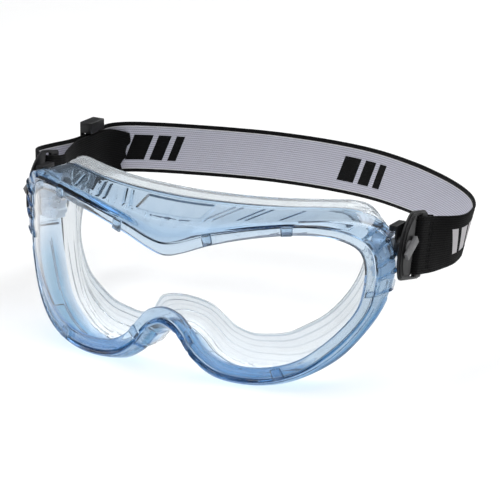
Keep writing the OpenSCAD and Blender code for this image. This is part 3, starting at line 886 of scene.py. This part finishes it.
def on_route(t):
    """Points of the strap's middle line at route parameters, which count its points."""
    p = np.array(STRAP, float)
    p = np.vstack([p[0], p, p[-1]])
    t = np.clip(np.asarray(t, float), 0, STRAP_ENDS_AT)
    i = np.minimum(t.astype(int), STRAP_ENDS_AT - 1)
    return spline(p[i], p[i + 1], p[i + 2], p[i + 3], (t - i)[..., None])


def even_route(step):
    """Route parameters at about equal steps, and the distance run at each, in millimetres."""
    t = np.linspace(STRAP_STARTS_AT, STRAP_ENDS_AT, 12001)
    run = length_along(on_route(t))
    at = np.linspace(0, run[-1], int(run[-1] / step) + 1)
    return np.interp(at, run, t), at


def strap_axes(t):
    """Middle points, and unit vectors to the grey face's side and upwards, at t."""
    e = 0.03
    p = on_route(t)
    along = unit(on_route(np.minimum(t + e, STRAP_ENDS_AT)) - on_route(np.maximum(t - e, 0)))
    near = np.min([np.abs(t - slot) for slot in SLOTS_AT], 0) / LEAN_REACH
    lean = np.radians(CLIP_TILT) * np.clip(2 - 2 * near, 0, 1)
    upright = np.stack([0 * lean, np.sin(lean), np.cos(lean)], -1)
    rise = unit(upright - along * (along * upright).sum(-1, keepdims=True))
    roll = np.clip(1 - ((t - ROLL_AT) / ROLL_REACH) ** 2, 0, 1) ** 2 * math.radians(ROLL_MOST)
    roll = roll[..., None]
    up = rise * np.cos(roll) - np.cross(rise, along) * np.sin(roll)
    return p, np.cross(up, along), up, along


def strap_profile():
    """Points round the strap's section: offset to the grey side and upwards, and which face."""
    half_w, half_t, r = STRAP_W / 2, STRAP_T / 2, 0.45
    columns = 24
    rise = np.linspace(-half_w + r, half_w - r, columns + 1)
    corner = [math.pi / 2 * k / 3 for k in range(1, 3)]
    points = [(half_t, y, 1) for y in rise]
    points += [(half_t - r + r * math.cos(a), half_w - r + r * math.sin(a), 0) for a in corner]
    points += [(half_t - r, half_w, 0), (r - half_t, half_w, 0)]
    points += [(r - half_t - r * math.sin(a), half_w - r + r * math.cos(a), 0) for a in corner]
    points += [(-half_t, y, 0) for y in rise[::-1]]
    points += [(r - half_t - r * math.cos(a), r - half_w - r * math.sin(a), 0) for a in corner]
    points += [(r - half_t, -half_w, 0), (half_t - r, -half_w, 0)]
    points += [(half_t - r + r * math.sin(a), r - half_w - r * math.cos(a), 0) for a in corner]
    return points


def strap_band():
    """The woven strap, black outside and grey inside, with slight waves where it is free."""
    t, run = even_route(ROUTE_STEP)
    p, side, up, along = strap_axes(t)
    profile = strap_profile()
    off = np.array([q[0] for q in profile])
    rise = np.array([q[1] for q in profile])
    verts = p[:, None] + side[:, None] * off[None, :, None] + up[:, None] * rise[None, :, None]
    # The cut end is wavy, and the body of the strap sways a little between its ends
    from_end = run[-1] - run
    cut = smooth(7, 0, from_end)[:, None] * 0.9 * np.sin(rise * 0.9 + 0.6)[None]
    verts += along[:, None] * cut[..., None]
    free = smooth(60, 110, run) * smooth(run[-1] - 130, run[-1] - 190, run)
    sway = 0.35 * np.sin(run / 23) + 0.2 * np.sin(run / 9.5 + 1)
    curl = 0.4 * np.sin(run / 31 + 0.7)[:, None] * (rise / (STRAP_W / 2))[None] ** 2
    verts += side[:, None] * (free[:, None] * (sway[:, None] * 0.5 + curl))[..., None]
    n, m = verts.shape[:2]
    faces = grid_faces(n, m, closed_n=False).tolist()
    faces += [list(range(m)), [(n - 1) * m + j for j in range(m)]]
    obj = new_object("strap_webbing", placed(verts), faces, [STRAP_OUT, STRAP_IN])
    mesh = obj.data
    layer = mesh.uv_layers.new(name="strap")
    index = np.zeros(len(mesh.loops), int)
    mesh.loops.foreach_get("vertex_index", index)
    uv = np.stack([run[index // m], rise[index % m]], -1)
    layer.data.foreach_set("uv", uv.ravel())
    grey = [q[2] for q in profile]
    for poly in mesh.polygons:
        cols = [v % m for v in poly.vertices]
        poly.material_index = int(len(cols) == 4 and all(grey[c] for c in cols))
    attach(obj, "strap")
    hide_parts("head_strap")


# Rows of thread that hold the sewn loop: where each is on the route, and on which face
STITCH_ROWS = [(11.8, -1), (12.25, -1), (3.5, 1), (3.1, 1)]
STITCH_COUNT = 9
STITCH_PITCH = 2.3
STITCH_L = 1.7
STITCH_R = 0.22


def stitch_rows():
    """Rows of thread across the strap's sewn loop, each stitch a short bowed tube."""
    verts, faces = [], []
    rings, sides = 5, 6
    for t, face in STITCH_ROWS:
        p, side, up, along = (v[0] for v in strap_axes(np.array([t])))
        for k in range(STITCH_COUNT):
            middle = (k - (STITCH_COUNT - 1) / 2) * STITCH_PITCH
            base = len(verts)
            for i in range(rings):
                u = i / (rings - 1)
                lift = math.sin(u * math.pi)
                centre = p + up * (middle + (u - 0.5) * STITCH_L)
                centre = centre + side * face * (STRAP_T / 2 + 0.02 + 0.14 * lift)
                r = STITCH_R * (0.45 + 0.55 * lift)
                for j in range(sides):
                    a = 2 * math.pi * j / sides
                    verts.append(centre + side * r * math.cos(a) + along * r * math.sin(a))
            tube = grid_faces(rings, sides, closed_n=False) + base
            faces += tube.tolist()
            faces += [[base + j for j in range(sides)],
                      [base + (rings - 1) * sides + j for j in range(sides)]]
    obj = new_object("strap_stitches", placed(verts), faces, [THREAD])
    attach(obj, "strap")
    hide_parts("loop_stitching")


# ---------------------------------------------------------------- clips, posts and slider

# The clip's D shape about its pivot, in its own plane, where X runs back and Y up: the middle
# and the radius of its arc, and its straight sides
D_MIDDLE = np.array([16.5, -2.6])
D_R = 22.9
D_BACK = 15.3
D_LOW = -13.8
D_HIGH = 14.8


def arc_points(cx, cy, r, a0, a1, count):
    """Points of an arc between two angles in degrees."""
    return [(cx + r * math.cos(a), cy + r * math.sin(a))
            for a in np.radians(np.linspace(a0, a1, count))]


def rounded_rect(x0, y0, x1, y1, r, count=5):
    """Outline of a rectangle with rounded corners."""
    points = arc_points(x1 - r, y0 + r, r, -90, 0, count)
    points += arc_points(x1 - r, y1 - r, r, 0, 90, count)
    points += arc_points(x0 + r, y1 - r, r, 90, 180, count)
    points += arc_points(x0 + r, y0 + r, r, 180, 270, count)
    return points


def plate(name, outlines, thickness, edge, material, matrix):
    """Flat plate with rounded edges. The first outline is its edge and the others are holes,
    in millimetres. It lies on its own XY plane, from 0 to its thickness, before the matrix."""
    curve = bpy.data.curves.new(name, "CURVE")
    curve.dimensions = "2D"
    curve.fill_mode = "BOTH"
    curve.extrude = (thickness / 2 - edge) * MM
    curve.bevel_depth = edge * MM
    curve.bevel_resolution = 2
    curve.offset = -edge * MM
    for points in outlines:
        path = curve.splines.new("POLY")
        path.points.add(len(points) - 1)
        for q, (x, y) in zip(path.points, points):
            q.co = (x * MM, y * MM, 0, 1)
        path.use_cyclic_u = True
    temp = in_scene(name + "_outline", curve)
    graph = bpy.context.evaluated_depsgraph_get()
    mesh = bpy.data.meshes.new_from_object(temp.evaluated_get(graph))
    bpy.data.objects.remove(temp)
    bpy.data.curves.remove(curve)
    mesh.transform(Matrix.Translation((0, 0, thickness / 2 * MM)))
    mesh.transform(matrix)
    with editing(mesh) as bm:
        bmesh.ops.remove_doubles(bm, verts=bm.verts, dist=SAME_POINT)
    mesh.materials.clear()
    mesh.materials.append(material)
    obj = in_scene(name, mesh)
    outward(obj)
    smooth_by_angle(obj)
    return obj


def clip_matrix(side, lift=0.0):
    """From a clip's own plane to the part's frame. Its X runs back and its Y up."""
    base = Matrix((
        (0, 0, side, side * (CLIP_X + lift) * MM + ORIGIN[0]),
        (1, 0, 0, PIVOT_Y * MM + ORIGIN[1]),
        (0, 1, 0, PIVOT_Z * MM + ORIGIN[2]),
        (0, 0, 0, 1),
    ))
    return base @ Matrix.Rotation(math.radians(-CLIP_TILT), 4, "Z")


def cut_corner(before, corner, after, reach, count=5):
    """Points of a rounded corner that starts this far from its tip."""
    before, corner, after = (np.array(q, float) for q in (before, corner, after))
    a = corner + unit(before - corner) * reach
    b = corner + unit(after - corner) * reach
    return [tuple(mix(mix(a, corner, u), mix(corner, b, u), u)) for u in np.linspace(0, 1, count)]


def d_outline(shrink=0.0, back=D_BACK):
    """The clip's D shape, which may be shrunk all round: an arc and three straight sides."""
    r, back = D_R - shrink, back - shrink
    low, high = D_LOW + shrink, D_HIGH - shrink
    a0 = math.pi + math.asin((D_MIDDLE[1] - low) / r)
    a1 = math.pi - math.asin((high - D_MIDDLE[1]) / r)
    arc = arc_points(*D_MIDDLE, r, math.degrees(a0), math.degrees(a1), 30)
    points = arc[3:-3]
    points += cut_corner(arc[-4], arc[-1], (back, high), 2.2)
    points += cut_corner(arc[-1], (back, high), (back, low), 2)
    points += cut_corner((back, high), (back, low), arc[0], 2)
    points += cut_corner((back, low), arc[0], arc[3], 2.2)
    return points


def keyhole(r, half_w, reach):
    """A round hole with a slot through it, which lets the post's head through."""
    turn = math.degrees(math.acos(half_w / r))
    points = arc_points(0, 0, r, -turn, turn, 13) + [(half_w, reach), (-half_w, reach)]
    points += arc_points(0, 0, r, 180 - turn, 180 + turn, 13) + [(-half_w, -reach), (half_w, -reach)]
    return points


def clip(side, word, body):
    """One strap clip: its plate, raised face and rim, and the bar that the strap goes round."""
    hole = keyhole(3.12, 1.9, 5.7)
    slot = rounded_rect(4.9, -12.5, 9.1, 13.5, 0.8)
    layers = [
        ("plate", [d_outline(), hole, slot], 0.0, 1.0, 0.3),
        ("face", [d_outline(0.75), hole, slot], 0.7, 0.9, 0.25),
        ("rim", [d_outline(1.6, 6.5), d_outline(2.5, 6.3)], 1.3, 0.6, 0.2),
    ]
    for number, (part, outlines, lift, thickness, edge) in enumerate(layers):
        obj = plate(f"strap_clip_{word}_{part}", outlines, thickness, edge, BLACK,
                    clip_matrix(side, lift))
        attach(obj, body)
        if number == 0:
            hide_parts(f"strap_clip_{word}")
    bar = plate(f"strap_clip_{word}_bar", [rounded_rect(9.2, -13.2, 15.0, 14.2, 1.2)],
                CLIP_T - 2 * BAR_INSET, 0.7, BLACK, clip_matrix(side, BAR_INSET))
    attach(bar, body)


# The slider's height in the outlines, its size, and how far its upper rail comes down
SLIDER_Z = 59.4
SLIDER_H = 34.6
SLIDER_RAIL = 4.4
RAIL_DROP = 0.8


def lower_rail_edge(obj):
    """Brings the underside of the slider's upper rail down to the strap's edge."""
    middle, reach = 0.5 * SLIDER_H - SLIDER_RAIL, 0.95
    for vertex in obj.data.vertices:
        z = (vertex.co.z - ORIGIN[2]) / MM - SLIDER_Z
        if abs(z - middle) < reach:
            vertex.co.z -= RAIL_DROP * MM


def hard_parts():
    """The CAD pieces whose shape is right, with rounded edges and finished materials."""
    for side in ("left", "right"):
        pieces = [
            (f"outrigger_{side}", 0.35, BLACK, "black_plastic"),
            (f"swivel_post_{side}", 0.3, GREY, "post_plastic"),
            (f"post_washer_{side}", 0.2, STEEL, "washer_steel"),
            (f"side_anchor_{side}", 0.25, BLUE_BLOCK, "vent_plastic"),
            (f"cheek_vent_insert_{side}", 0.25, BLUE_INNER, "vent_plastic"),
        ]
        for node, width, material, slot in pieces:
            obj = softened(node, width, material)
            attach(obj, "goggle_body")
            obj.visible_shadow = material not in (BLUE_INNER, BLUE_BLOCK)
    obj = softened("brow_vent_insert", 0.2, BLUE_INNER, segments=2)
    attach(obj, "goggle_body")
    obj.visible_shadow = False
    obj = softened("strap_slider", 0.9, BLACK)
    lower_rail_edge(obj)
    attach(obj, "slider")


# ---------------------------------------------------------------- studio

# The camera's place and target in the outlines, its roll in degrees, and its focal length
# and sensor in millimetres
CAMERA_PLACE = [556.3, -925.8, 395.8]
CAMERA_TARGET = [21.8, 33.1, 53.3]
CAMERA_ROLL = -0.64
CAMERA_LENS = 198.5
CAMERA_SENSOR = 36

# Half the floor's side and how far it lies below the part, in metres
FLOOR_HALF = 6.0
FLOOR_DROP = 0.0002


def look_at(camera, place, target, roll):
    """Stands a camera at a place, pointed at a target and turned about its view."""
    direction = (target - place).normalized()
    right = direction.cross(Vector((0, 0, 1))).normalized()
    up = right.cross(direction)
    turned = Matrix.Rotation(math.radians(roll), 3, direction)
    right, up = turned @ right, turned @ up
    camera.matrix_world = Matrix((
        (right.x, up.x, -direction.x, place.x),
        (right.y, up.y, -direction.y, place.y),
        (right.z, up.z, -direction.z, place.z),
        (0, 0, 0, 1),
    ))


def add_camera():
    """The camera, without depth of field."""
    data = bpy.data.cameras.new("camera")
    data.lens = CAMERA_LENS
    data.sensor_width = CAMERA_SENSOR
    data.clip_end = 50
    camera = in_scene("camera", data)
    look_at(camera, Vector(placed(CAMERA_PLACE)[0]), Vector(placed(CAMERA_TARGET)[0]), CAMERA_ROLL)
    bpy.context.scene.camera = camera


def softbox(name, place, target, size, power):
    """A soft rectangular light at a place in metres that points at a target."""
    data = bpy.data.lights.new(name, "AREA")
    data.shape = "RECTANGLE"
    data.size, data.size_y = size
    data.energy = power
    light = in_scene(name, data)
    light.location = place
    light.rotation_euler = (Vector(target) - Vector(place)).to_track_quat("-Z", "Y").to_euler()


def studio():
    """Pale paper floor, soft lights, and how the picture is developed."""
    n = Nodes("floor_paper")
    grain = n.noise(scale=40, detail=2)
    n.set(Base_Color=n.blend(grain, (0.90, 0.90, 0.90), (0.92, 0.92, 0.92)), Roughness=0.9)
    half = FLOOR_HALF
    verts = [(-half, -half, 0), (half, -half, 0), (half, half, 0), (-half, half, 0)]
    floor = new_object("floor", verts, [[0, 1, 2, 3]], [n.mat], smooth_shading=False)
    floor.location.z = -FLOOR_DROP
    world = bpy.data.worlds.new("studio")
    bpy.context.scene.world = world
    world.use_nodes = True
    background = world.node_tree.nodes["Background"]
    background.inputs["Color"].default_value = (0.96, 0.98, 1.0, 1)
    background.inputs["Strength"].default_value = 0.17
    middle = (0, 0, 0.04)
    softbox("top_light", (0.1, 0.0, 1.5), (0, 0, 0), size=(2.0, 1.6), power=28)
    softbox("left_light", (-1.3, -0.7, 0.8), middle, size=(0.9, 1.2), power=7)
    softbox("back_light", (0.3, 1.5, 0.9), middle, size=(1.6, 0.9), power=8)
    view = bpy.context.scene.view_settings
    view.view_transform = "Standard"
    view.look = "None"
    cycles = bpy.context.scene.cycles
    cycles.transmission_bounces = 24
    cycles.transparent_max_bounces = 24
    cycles.max_bounces = 28


add_camera()
frame_skin()
lens_hooks()
lens_sheet()
seal_lip()
for side, word, body in ((1, "left", "strap"), (-1, "right", "right_clip")):
    clip(side, word, body)
hard_parts()
strap_band()
stitch_rows()
studio()
